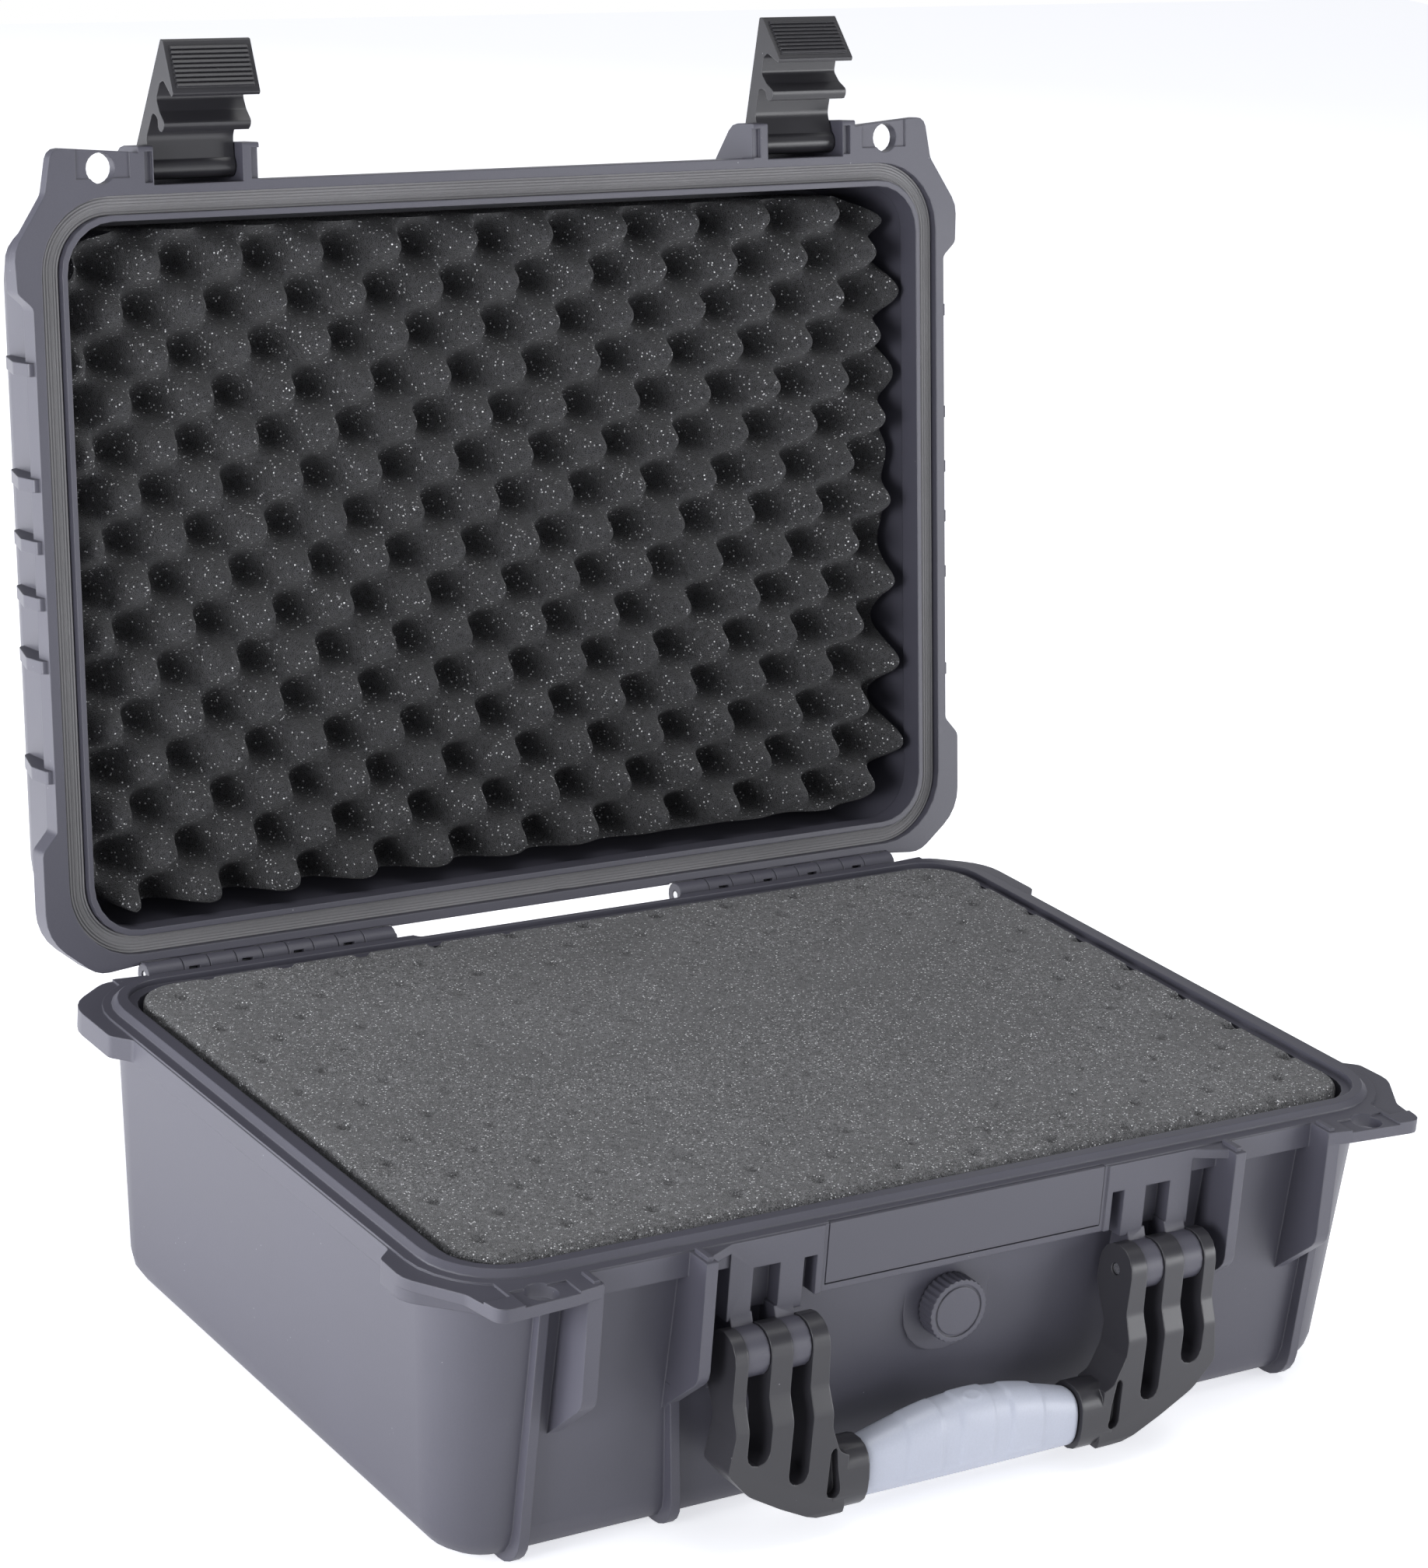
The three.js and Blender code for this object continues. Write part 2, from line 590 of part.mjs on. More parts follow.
const finishes = {
  shell: { color: 0x3c3b44, roughness: 0.55, metalness: 0 },
  latch: { color: 0x26262b, roughness: 0.4, metalness: 0 },
  handle: { color: 0x2e2d35, roughness: 0.42, metalness: 0 },
  grip: { color: 0xb9bdc9, roughness: 0.5, metalness: 0 },
  rubber: { color: 0x6f6f73, roughness: 0.8, metalness: 0 },
  steel: { color: 0xc8c8c8, roughness: 0.25, metalness: 1 },
  foam: { color: 0x4a4a4c, roughness: 1, metalness: 0 },
  lidFoam: { color: 0x2b2b2d, roughness: 1, metalness: 0 },
};

function place(parent, name, solid, finish) {
  const mesh = new THREE.Mesh(geometryOf(solid), new THREE.MeshStandardMaterial(finishes[finish]));
  mesh.name = name;
  parent.add(mesh);
  return mesh;
}

place(group, 'base_shell', baseShell(), 'shell');
place(group, 'nameplate', block(-PLATE.half, PLATE.half, FRONT - 0.2, FRONT + PLATE.thick,
  PLATE.bottom, PLATE.top), 'shell');

const hingeLength = [KNUCKLE_EDGES.at(-1) + 0.6, KNUCKLE_EDGES[0] - 0.6];
const hingeZ = PARTING - HINGE.drop;
const hingePin = rodX(HINGE.pin, ...hingeLength, HINGE.y, hingeZ, 16);
place(group, 'hinge_pin_right', hingePin, 'steel');
place(group, 'hinge_pin_left', mirrored(hingePin), 'steel');

const foamLayers = [
  ['floor_pad', 4.4, 14.2, 176, 18],
  ['pluck_foam_lower', 14.6, 54.6, 186.6, 24],
  ['pluck_foam_upper', 55, 95, 188.6, 24],
  ['cover_pad', 95.4, PARTING + 1.4, 188.6, 20],
];
for (const [name, z0, z1, x, r] of foamLayers) {
  const size = { x, y: x - (MOUTH.x - MOUTH.y), r };
  place(group, name, slab(rectangle(size), z0, z1), 'foam');
}

place(group, 'valve_knob', valveKnob(), 'latch');
place(group, 'valve_seal', valveSeal(), 'rubber');

place(group, 'handle_frame', handleFrame(), 'handle');
place(group, 'handle_grip', handleGrip(), 'grip');
const handlePin = rodX(HANDLE.pin, 64.9, 100.6, HANDLE.y, HANDLE.z, 12);
place(group, 'handle_pin_right', handlePin, 'steel');
place(group, 'handle_pin_left', mirrored(handlePin), 'steel');

// The lid hangs on the hinge axis; inside it everything is drawn with the lid closed.
const lid = new THREE.Group();
lid.position.set(0, HINGE.y, hingeZ);
lid.rotation.x = -THREE.MathUtils.degToRad(LID_OPEN);
group.add(lid);
const lidFrame = new THREE.Group();
lidFrame.position.set(0, -HINGE.y, HINGE.drop);
lid.add(lidFrame);
place(lidFrame, 'lid_shell', lidShell(), 'shell');
place(lidFrame, 'lid_gasket', lidGasket(), 'rubber');
place(lidFrame, 'lid_foam', slab(rectangle({ x: 186.6, y: 128.8, r: 22 }), 3, LID_HEIGHT - 4.6),
  'lidFoam');

for (const [side, sign] of [['left', -1], ['right', 1]]) {
  const pivot = new THREE.Group();
  pivot.position.set(sign * LATCH.x, LATCH.y, LATCH.z);
  pivot.rotation.x = -THREE.MathUtils.degToRad(LATCH_REST[side]);
  lidFrame.add(pivot);
  place(pivot, `latch_${side}`, latch(), 'latch');
  const pin = rodX(LATCH.pin, -22.8, 20.8, 0, 0, 12);
  place(pivot, `latch_pin_${side}`, sign > 0 ? pin : mirrored(pin), 'steel');
}

export default group;
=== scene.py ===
# %% [markdown]
# # A hard equipment case, standing open
#
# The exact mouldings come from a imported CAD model, which is loaded here as a fixed frame. Every
# length is in metres, +X points to the right, -Y out of the front wall and +Z up, so a new piece
# is put where the frame says and never fitted by eye. The soft pieces, which CAD holds as plain
# blocks, are worked out with numpy as surfaces, and every piece gets a procedural material.

import json
import math

import bmesh
import bpy
import numpy as np
from mathutils import Matrix, Vector

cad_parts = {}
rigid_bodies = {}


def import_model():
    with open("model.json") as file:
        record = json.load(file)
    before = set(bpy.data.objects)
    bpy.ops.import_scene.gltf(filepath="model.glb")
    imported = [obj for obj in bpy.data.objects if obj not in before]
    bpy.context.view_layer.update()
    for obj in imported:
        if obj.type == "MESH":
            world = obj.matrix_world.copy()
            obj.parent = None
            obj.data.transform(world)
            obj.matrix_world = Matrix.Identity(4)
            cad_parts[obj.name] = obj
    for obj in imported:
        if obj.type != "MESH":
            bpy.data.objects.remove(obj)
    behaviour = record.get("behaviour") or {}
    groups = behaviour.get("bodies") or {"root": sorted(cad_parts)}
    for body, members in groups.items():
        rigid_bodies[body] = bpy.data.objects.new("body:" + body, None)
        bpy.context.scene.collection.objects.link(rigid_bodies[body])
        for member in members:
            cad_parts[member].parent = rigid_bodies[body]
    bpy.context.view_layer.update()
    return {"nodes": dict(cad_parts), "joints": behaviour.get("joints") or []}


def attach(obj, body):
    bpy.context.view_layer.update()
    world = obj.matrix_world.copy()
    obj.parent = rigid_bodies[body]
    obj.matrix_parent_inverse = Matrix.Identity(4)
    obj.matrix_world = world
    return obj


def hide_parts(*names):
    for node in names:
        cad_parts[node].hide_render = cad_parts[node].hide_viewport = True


for leftover in list(bpy.data.objects):
    bpy.data.objects.remove(leftover)

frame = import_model()
nodes = frame["nodes"]
scene = bpy.context.scene
MM = 0.001

# %% [markdown]
# ## The hinge tells us where the lid is
#
# The lid stands open on its stop. Pieces inside it are easier to describe with the lid shut: the
# parting plane is then level and depth is measured up into the lid. One turn about the hinge
# takes them to where they stand, and this turn is applied to their points, not to their objects.

# %% The turn from the shut lid to the open lid
lid_joint = next(j for j in frame["joints"] if j["name"] == "lid_hinge")
HINGE = np.array(lid_joint["pos_m"])
LID_OPEN = math.radians(99)
PARTING = 0.112


def lid_opened(points):
    """Points of the shut lid, heights from the parting plane, turned about the hinge axis:
    y' = y cos a - z sin a and z' = y sin a + z cos a, with a = minus the opening angle."""
    c, s = math.cos(-LID_OPEN), math.sin(-LID_OPEN)
    y = points[:, 1] - HINGE[1]
    z = points[:, 2] + PARTING - HINGE[2]
    return np.column_stack([points[:, 0], y * c - z * s + HINGE[1], y * s + z * c + HINGE[2]])


print("the lid is open by", round(math.degrees(LID_OPEN)), "degrees about", HINGE)

# %% [markdown]
# ## Camera
#
# A long lens from the front left, a little above, keeps the upright lines nearly parallel, as in
# catalogue pictures. The camera leans four degrees to one side, so its three axes are written as
# a turn about the sight line after the usual azimuth and elevation.

# %% Camera
AZIMUTH, ELEVATION, ROLL = math.radians(-33.94), math.radians(18.35), math.radians(4.22)
LENS_MM = 95.72
CAMERA_PLACE = (-0.81948, -1.18766, 0.69150)
back = Vector((math.sin(AZIMUTH) * math.cos(ELEVATION),
               -math.cos(AZIMUTH) * math.cos(ELEVATION), math.sin(ELEVATION)))
right = Vector((0, 0, 1)).cross(back).normalized()
up = back.cross(right)
tilted_right = right * math.cos(ROLL) + up * math.sin(ROLL)
tilted_up = up * math.cos(ROLL) - right * math.sin(ROLL)
camera = bpy.data.objects.new("camera", bpy.data.cameras.new("camera"))
camera.data.lens = LENS_MM
turned = Matrix((tilted_right, tilted_up, back)).transposed().to_4x4()
camera.matrix_world = Matrix.Translation(CAMERA_PLACE) @ turned
scene.collection.objects.link(camera)
scene.camera = camera
print("camera at", [round(v, 3) for v in camera.location])

# %% [markdown]
# ## Floor and light
#
# A dark moulding shows its form by what it mirrors, so the lights are large soft panels: two on
# the left, one to the right front, one overhead and a weak one behind. The near left one also
# reaches into the open lid. Nothing bright stands behind the camera, which leaves the corner that
# faces it dark, between two lit walls. The world is white to the eye, but gives only a weak fill.
# The pale floor glows a little, and for rays that are not the camera's it glows more to the left
# and right of the case than in front of it, so that the low walls are lit from both sides.

# %% Floor
floor_mesh = bpy.data.meshes.new("floor")
FLOOR_HALF = 3
GLOW_TO_CAMERA = 0.65
GLOW_NEAR, GLOW_FAR = (0.10, 0.40), (0.42, 1.05)  # metres to the side, strength
floor_mesh.from_pydata([(-FLOOR_HALF, -FLOOR_HALF, 0), (FLOOR_HALF, -FLOOR_HALF, 0),
                        (FLOOR_HALF, FLOOR_HALF, 0), (-FLOOR_HALF, FLOOR_HALF, 0)],
                       [], [(0, 1, 2, 3)])
floor = bpy.data.objects.new("floor", floor_mesh)
scene.collection.objects.link(floor)
floor_paint = bpy.data.materials.new("pale floor")
floor_paint.use_nodes = True
floor_shader = floor_paint.node_tree.nodes["Principled BSDF"]
floor_shader.inputs["Base Color"].default_value = (0.87, 0.87, 0.88, 1)
floor_shader.inputs["Roughness"].default_value = 0.7
floor_shader.inputs["Emission Color"].default_value = (0.95, 0.96, 1, 1)
floor_tree = floor_paint.node_tree
sight = floor_tree.nodes.new("ShaderNodeLightPath")
where = floor_tree.nodes.new("ShaderNodeTexCoord")
aside = floor_tree.nodes.new("ShaderNodeVectorMath")
aside.operation = "DOT_PRODUCT"
aside.inputs[1].default_value = (math.cos(AZIMUTH), math.sin(AZIMUTH), 0)
distance = floor_tree.nodes.new("ShaderNodeMath")
distance.operation = "ABSOLUTE"
flanks = floor_tree.nodes.new("ShaderNodeMapRange")
flanks.interpolation_type = "SMOOTHSTEP"
flanks.inputs["From Min"].default_value, flanks.inputs["To Min"].default_value = GLOW_NEAR
flanks.inputs["From Max"].default_value, flanks.inputs["To Max"].default_value = GLOW_FAR
glow = floor_tree.nodes.new("ShaderNodeMix")
glow.inputs[3].default_value = GLOW_TO_CAMERA
floor_tree.links.new(where.outputs["Object"], aside.inputs[0])
floor_tree.links.new(aside.outputs["Value"], distance.inputs[0])
floor_tree.links.new(distance.outputs[0], flanks.inputs[0])
floor_tree.links.new(sight.outputs["Is Camera Ray"], glow.inputs[0])
floor_tree.links.new(flanks.outputs[0], glow.inputs[2])
floor_tree.links.new(glow.outputs[0], floor_shader.inputs["Emission Strength"])
floor_mesh.materials.append(floor_paint)
print("floor laid")

# %% World and lamps
world = bpy.data.worlds.new("studio")
scene.world = world
world.use_nodes = True
sky = world.node_tree
sky.nodes.clear()
path = sky.nodes.new("ShaderNodeLightPath")
fill = sky.nodes.new("ShaderNodeBackground")
fill.inputs["Color"].default_value = (0.94, 0.96, 1.0, 1)
fill.inputs["Strength"].default_value = 0.34
seen = sky.nodes.new("ShaderNodeBackground")
seen.inputs["Color"].default_value = (1, 1, 1, 1)
choose = sky.nodes.new("ShaderNodeMixShader")
out = sky.nodes.new("ShaderNodeOutputWorld")
sky.links.new(path.outputs["Is Camera Ray"], choose.inputs[0])
sky.links.new(fill.outputs[0], choose.inputs[1])
sky.links.new(seen.outputs[0], choose.inputs[2])
sky.links.new(choose.outputs[0], out.inputs["Surface"])


def soft_panel(name, place, target, width, height, watts, tint=(1, 1, 1)):
    """A rectangular area lamp at place, turned so that its face looks at target."""
    lamp = bpy.data.objects.new(name, bpy.data.lights.new(name, "AREA"))
    lamp.data.shape = "RECTANGLE"
    lamp.data.size, lamp.data.size_y = width, height
    lamp.data.energy = watts
    lamp.data.color = tint
    lamp.location = place
    lamp.rotation_mode = "QUATERNION"
    lamp.rotation_quaternion = (Vector(target) - Vector(place)).to_track_quat("-Z", "Y")
    scene.collection.objects.link(lamp)


soft_panel("left panel", (-2.2, 0.8, 0.40), (0, 0.05, 0.10), 1.8, 0.8, 46, (0.95, 0.97, 1.0))
soft_panel("near left panel", (-2.3, -0.9, 0.60), (0, 0.1, 0.2), 1.0, 1.0, 38, (0.97, 0.98, 1.0))
soft_panel("right panel", (2.1, -1.9, 0.5), (0, 0, 0.1), 1.3, 0.9, 34, (0.97, 0.98, 1.0))
soft_panel("top panel", (0.3, -0.3, 2.4), (0, 0, 0.1), 1.5, 1.5, 20)
soft_panel("rear panel", (1.2, 2.4, 1.2), (0, 0.1, 0.2), 1.6, 1.4, 4)
scene.view_settings.view_transform = "Standard"
print("five soft panels lit")

# %% [markdown]
# ## Effects shared by the materials
#
# Three effects come back on several pieces, so each is a shader node group: the fine grain and
# cloudy tone of moulded plastic, a lighter rub along exposed edges that is partly a painted
# highlight, and the open cells of foam, with painted shade in the pores and painted glints.
# A group gives colours, masks and heights only. The shader stays in each material.

# %% Helpers for node trees
def new_group(name, wants, gives):
    """An empty shader node group. wants lists (name, kind, default), gives lists (name, kind)."""
    tree = bpy.data.node_groups.new(name, "ShaderNodeTree")
    for label, kind, default in wants:
        socket = tree.interface.new_socket(label, in_out="INPUT", socket_type="NodeSocket" + kind)
        if default is not None:
            socket.default_value = default
    for label, kind in gives:
        tree.interface.new_socket(label, in_out="OUTPUT", socket_type="NodeSocket" + kind)
    return tree, tree.nodes.new("NodeGroupInput"), tree.nodes.new("NodeGroupOutput")


def node(tree, kind, inputs=(), **settings):
    """A node of that kind. inputs gives a value or an output socket for each named input."""
    made = tree.nodes.new("ShaderNode" + kind)
    for key, value in settings.items():
        setattr(made, key, value)
    for key, value in dict(inputs).items():
        if isinstance(value, bpy.types.NodeSocket):
            tree.links.new(value, made.inputs[key])
        else:
            made.inputs[key].default_value = value
    return made


def maths(tree, operation, a, b=0.0, clamp=False):
    """One step of arithmetic on values or output sockets."""
    step = node(tree, "Math", {0: a, 1: b}, operation=operation, use_clamp=clamp)
    return step.outputs[0]


def spread(tree, value, low, high, to_low=0.0, to_high=1.0):
    """Stretches value so that low becomes to_low and high becomes to_high, clamped."""
    return node(tree, "MapRange", {"Value": value, "From Min": low, "From Max": high,
                                   "To Min": to_low, "To Max": to_high}).outputs[0]


def blended(tree, amount, a, b):
    """Two colours mixed by amount."""
    mix = node(tree, "Mix", {0: amount, 6: a, 7: b}, data_type="RGBA", blend_type="MIX")
    return mix.outputs[2]


print("node helpers ready")

# %% Moulded surface: grain and clouds
moulded, give, take = new_group(
    "Moulded surface",
    [("Vector", "Vector", None), ("Colour", "Color", (0.05, 0.05, 0.05, 1)),
     ("Roughness", "Float", 0.5), ("Grain", "Float", 1.0), ("Clouds", "Float", 1.0)],
    [("Colour", "Color"), ("Roughness", "Float"), ("Height", "Float")])
fine = node(moulded, "TexNoise", {"Vector": give.outputs["Vector"], "Scale": 1500.0,
                                  "Detail": 3.0, "Roughness": 0.6})
broad = node(moulded, "TexNoise", {"Vector": give.outputs["Vector"], "Scale": 11.0,
                                   "Detail": 4.0, "Roughness": 0.55, "Distortion": 0.4})
specks = node(moulded, "TexVoronoi", {"Vector": give.outputs["Vector"], "Scale": 260.0},
              feature="F1")
speck_size = node(moulded, "TexNoise", {"Vector": give.outputs["Vector"], "Scale": 37.0})
lint = maths(moulded, "MULTIPLY",
             maths(moulded, "LESS_THAN", specks.outputs["Distance"], 0.07),
             maths(moulded, "GREATER_THAN", speck_size.outputs[0], 0.64))
cloud = maths(moulded, "MULTIPLY", maths(moulded, "SUBTRACT", broad.outputs[0], 0.5),
              give.outputs["Clouds"])
tone = maths(moulded, "ADD", maths(moulded, "MULTIPLY", cloud, 0.55),
             maths(moulded, "MULTIPLY", fine.outputs[0], 0.24))
brighter = maths(moulded, "ADD", tone, 1.38)
tinted = node(moulded, "Mix", {0: 1.0, 6: give.outputs["Colour"], 7: brighter},
              data_type="RGBA", blend_type="MULTIPLY")
dusted = blended(moulded, maths(moulded, "MULTIPLY", lint, 0.35), tinted.outputs[2],
                 (0.5, 0.5, 0.52, 1))
rough = maths(moulded, "ADD", give.outputs["Roughness"],
              maths(moulded, "ADD", maths(moulded, "MULTIPLY", cloud, 0.22),
                    maths(moulded, "MULTIPLY", lint, 0.3)), clamp=True)
moulded.links.new(dusted, take.inputs["Colour"])
moulded.links.new(rough, take.inputs["Roughness"])
moulded.links.new(maths(moulded, "MULTIPLY", fine.outputs[0], give.outputs["Grain"]),
                  take.inputs["Height"])
print("group:", moulded.name)

# %% Edge rub and painted highlight: where a rounded normal leaves the true one, an edge is near
rub_and_painted_highlight, give, take = new_group(
    "Edge rub and painted highlight",
    [("Vector", "Vector", None), ("Rounded", "Vector", None), ("Amount", "Float", 1.0)],
    [("Mask", "Float")])
shape = node(rub_and_painted_highlight, "NewGeometry")
agree = node(rub_and_painted_highlight, "VectorMath", {0: give.outputs["Rounded"], 1: shape.outputs["Normal"]},
             operation="DOT_PRODUCT")
# The mask lightens the colour along edges, partly as rubbed wear and partly as a painted
# highlight.
bend = spread(rub_and_painted_highlight, agree.outputs["Value"], 0.985, 0.80)
patchy = node(rub_and_painted_highlight, "TexNoise", {"Vector": give.outputs["Vector"], "Scale": 70.0, "Detail": 5.0})
worn = maths(rub_and_painted_highlight, "MULTIPLY", bend, spread(rub_and_painted_highlight, patchy.outputs[0], 0.35, 0.65, 0.35, 1.0))
rub_and_painted_highlight.links.new(maths(rub_and_painted_highlight, "MULTIPLY", worn, give.outputs["Amount"]), take.inputs["Mask"])
print("group:", rub_and_painted_highlight.name)

# %% Open-cell foam: pores painted dark as shade between thin walls painted light, and painted glints
foam, give, take = new_group(
    "Open-cell foam",
    [("Vector", "Vector", None), ("Colour", "Color", (0.1, 0.1, 0.1, 1)),
     ("Cells per metre", "Float", 900.0), ("Sparkle", "Float", 0.5)],
    [("Colour", "Color"), ("Roughness", "Float"), ("Height", "Float")])
cells = node(foam, "TexVoronoi", {"Vector": give.outputs["Vector"],
                                  "Scale": give.outputs["Cells per metre"]}, feature="F1")
walls = node(foam, "TexVoronoi", {"Vector": give.outputs["Vector"],
                                  "Scale": give.outputs["Cells per metre"]},
             feature="DISTANCE_TO_EDGE")
clumps = node(foam, "TexNoise", {"Vector": give.outputs["Vector"], "Scale": 420.0, "Detail": 3.0,
                                 "Roughness": 0.7})
soft_cloud = node(foam, "TexNoise", {"Vector": give.outputs["Vector"], "Scale": 26.0,
                                     "Detail": 3.0})
chance = node(foam, "SeparateColor", {0: cells.outputs["Color"]})
# Cell centres are painted darker as the shade inside the pores, and the walls lighter; the same
# value gives the height.
pore_shade_and_depth = spread(foam, walls.outputs["Distance"], 0.02, 0.28, 1.3, 0.5)
shade = maths(foam, "MULTIPLY", pore_shade_and_depth, spread(foam, chance.outputs[2], 0.0, 1.0, 0.65, 1.35))
shade = maths(foam, "MULTIPLY", shade, spread(foam, clumps.outputs[0], 0.3, 0.7, 0.7, 1.3))
shade = maths(foam, "MULTIPLY", shade, spread(foam, soft_cloud.outputs[0], 0.3, 0.7, 0.93, 1.07))
base = node(foam, "Mix", {0: 1.0, 6: give.outputs["Colour"], 7: shade},
            data_type="RGBA", blend_type="MULTIPLY")
# A few cells are painted near white: a painted glint, where a skin would mirror the light.
lucky = maths(foam, "GREATER_THAN", chance.outputs[0],
              maths(foam, "SUBTRACT", 1.0, maths(foam, "MULTIPLY", give.outputs["Sparkle"], 0.25)))
facing = maths(foam, "LESS_THAN", cells.outputs["Distance"], 0.46)
glint = maths(foam, "MULTIPLY", lucky, facing)
glint = maths(foam, "MULTIPLY", glint, chance.outputs[1])
sparkling = blended(foam, glint, base.outputs[2], (0.95, 0.95, 0.97, 1))
foam.links.new(sparkling, take.inputs["Colour"])
foam.links.new(maths(foam, "SUBTRACT", 0.97, maths(foam, "MULTIPLY", glint, 0.5)),
               take.inputs["Roughness"])
foam.links.new(maths(foam, "SUBTRACT", 1.0, pore_shade_and_depth), take.inputs["Height"])
print("group:", foam.name)

# %% [markdown]
# ## Plastics
#
# The two shells and the valve knob are one charcoal plastic with a fine spark-eroded grain. The
# latches and the handle are a blacker, smoother plastic. A Bevel node rounds the normal over a
# few tenths of a millimetre, as a mould does, and that rounding also finds the edges, whose
# colour is lightened, partly as rubbed wear and partly as a painted highlight.

# %% A moulded plastic
def plastic(name, colour, roughness, grain, clouds, edge, edge_wear_and_highlight_tone, edge_wear_and_highlight_amount, bump=0.00004):
    """Grain, clouds and edges lightened by rub and by a painted highlight, on a Principled shader.
    """
    material = bpy.data.materials.new(name)
    material.use_nodes = True
    tree = material.node_tree
    shader = tree.nodes["Principled BSDF"]
    place = node(tree, "TexCoord").outputs["Object"]
    rounded = node(tree, "Bevel", {"Radius": edge}, samples=6).outputs[0]
    skin = node(tree, "Group", node_tree=moulded)
    tree.links.new(place, skin.inputs["Vector"])
    skin.inputs["Colour"].default_value = (*colour, 1)
    skin.inputs["Roughness"].default_value = roughness
    skin.inputs["Grain"].default_value = grain
    skin.inputs["Clouds"].default_value = clouds
    wear_and_painted_highlight = node(tree, "Group", node_tree=rub_and_painted_highlight)
    tree.links.new(place, wear_and_painted_highlight.inputs["Vector"])
    tree.links.new(rounded, wear_and_painted_highlight.inputs["Rounded"])
    wear_and_painted_highlight.inputs["Amount"].default_value = edge_wear_and_highlight_amount
    # Edges take a lighter tone, partly rubbed wear and partly a painted highlight.
    colour_out = blended(tree, wear_and_painted_highlight.outputs["Mask"], skin.outputs["Colour"], (*edge_wear_and_highlight_tone, 1))
    tree.links.new(colour_out, shader.inputs["Base Color"])
    tree.links.new(skin.outputs["Roughness"], shader.inputs["Roughness"])
    relief = node(tree, "Bump", {"Height": skin.outputs["Height"], "Normal": rounded,
                                 "Distance": bump, "Strength": 0.5})
    tree.links.new(relief.outputs[0], shader.inputs["Normal"])
    shader.inputs["Specular IOR Level"].default_value = 0.5
    return material


shell_plastic = plastic("charcoal shell plastic", (0.044, 0.043, 0.056), 0.45, grain=1.0,
                        clouds=0.9, edge=0.0007, edge_wear_and_highlight_tone=(0.13, 0.13, 0.145), edge_wear_and_highlight_amount=0.45)
latch_plastic = plastic("black latch plastic", (0.016, 0.0155, 0.018), 0.31, grain=0.35,
                        clouds=0.7, edge=0.0005, edge_wear_and_highlight_tone=(0.10, 0.10, 0.105), edge_wear_and_highlight_amount=0.45)
handle_plastic = plastic("black handle plastic", (0.019, 0.0185, 0.022), 0.33, grain=0.4,
                         clouds=0.8, edge=0.0006, edge_wear_and_highlight_tone=(0.12, 0.12, 0.125),
                         edge_wear_and_highlight_amount=0.45)
plate_plastic = plastic("plate plastic", (0.042, 0.041, 0.053), 0.43, grain=0.6, clouds=0.6,
                        edge=0.0003, edge_wear_and_highlight_tone=(0.15, 0.15, 0.16), edge_wear_and_highlight_amount=0.4)
print("plastics made")

# %% [markdown]
# ## Rubber, grip and steel
#
# The gasket is a dull grey rubber, chalky where it has been handled. The grip is a light grey
# soft-touch plastic that lets a little light in below its surface. The pins are drawn steel rod,
# whose fine scratches run along the rod. Gasket, ring and grip are lightened along their edges
# like the plastics, partly as rubbed wear and partly as a painted highlight.

# %% Rubbers
gasket_rubber = plastic("gasket rubber", (0.125, 0.123, 0.127), 0.6, grain=1.2, clouds=1.6,
                        edge=0.0002, edge_wear_and_highlight_tone=(0.2, 0.2, 0.205), edge_wear_and_highlight_amount=0.5,
                        bump=0.00008)
ring_rubber = plastic("ring rubber", (0.02, 0.02, 0.021), 0.5, grain=0.6, clouds=0.5,
                      edge=0.0001, edge_wear_and_highlight_tone=(0.05, 0.05, 0.05), edge_wear_and_highlight_amount=0.3)
grip_rubber = plastic("soft grip", (0.285, 0.30, 0.35), 0.42, grain=0.6, clouds=0.5,
                      edge=0.0005, edge_wear_and_highlight_tone=(0.5, 0.51, 0.55), edge_wear_and_highlight_amount=0.35,
                      bump=0.00003)
grip_shader = grip_rubber.node_tree.nodes["Principled BSDF"]
grip_shader.inputs["Subsurface Weight"].default_value = 0.15
grip_shader.inputs["Subsurface Radius"].default_value = (1.0, 1.0, 1.1)
grip_shader.inputs["Subsurface Scale"].default_value = 0.002
print("rubbers made")

# %% Steel
pin_steel = bpy.data.materials.new("drawn steel")
pin_steel.use_nodes = True
tree = pin_steel.node_tree
shader = tree.nodes["Principled BSDF"]
shader.inputs["Metallic"].default_value = 1.0
lengthwise = node(tree, "Mapping", {"Vector": node(tree, "TexCoord").outputs["Object"],
                                    "Scale": (60.0, 2600.0, 2600.0)})
scratches = node(tree, "TexNoise", {"Vector": lengthwise.outputs[0], "Scale": 1.0, "Detail": 3.0})
bright = blended(tree, scratches.outputs[0], (0.52, 0.52, 0.53, 1), (0.74, 0.74, 0.75, 1))
tree.links.new(bright, shader.inputs["Base Color"])
tree.links.new(spread(tree, scratches.outputs[0], 0.3, 0.7, 0.2, 0.42), shader.inputs["Roughness"])
drawn = node(tree, "Bump", {"Height": scratches.outputs[0], "Distance": 0.00002, "Strength": 0.4})
tree.links.new(drawn.outputs[0], shader.inputs["Normal"])
print("steel made")

# %% [markdown]
# ## Foams
#
# Polyurethane foam is a net of thin skins, and now and then a skin mirrors the light, which gives
# its sparkle. Here the sparkle is painted, as near-white glints in a few cells, and the pores are
# painted darker as shade. The cell size and the number of sparkles set a coarse pad apart from a
# fine one.

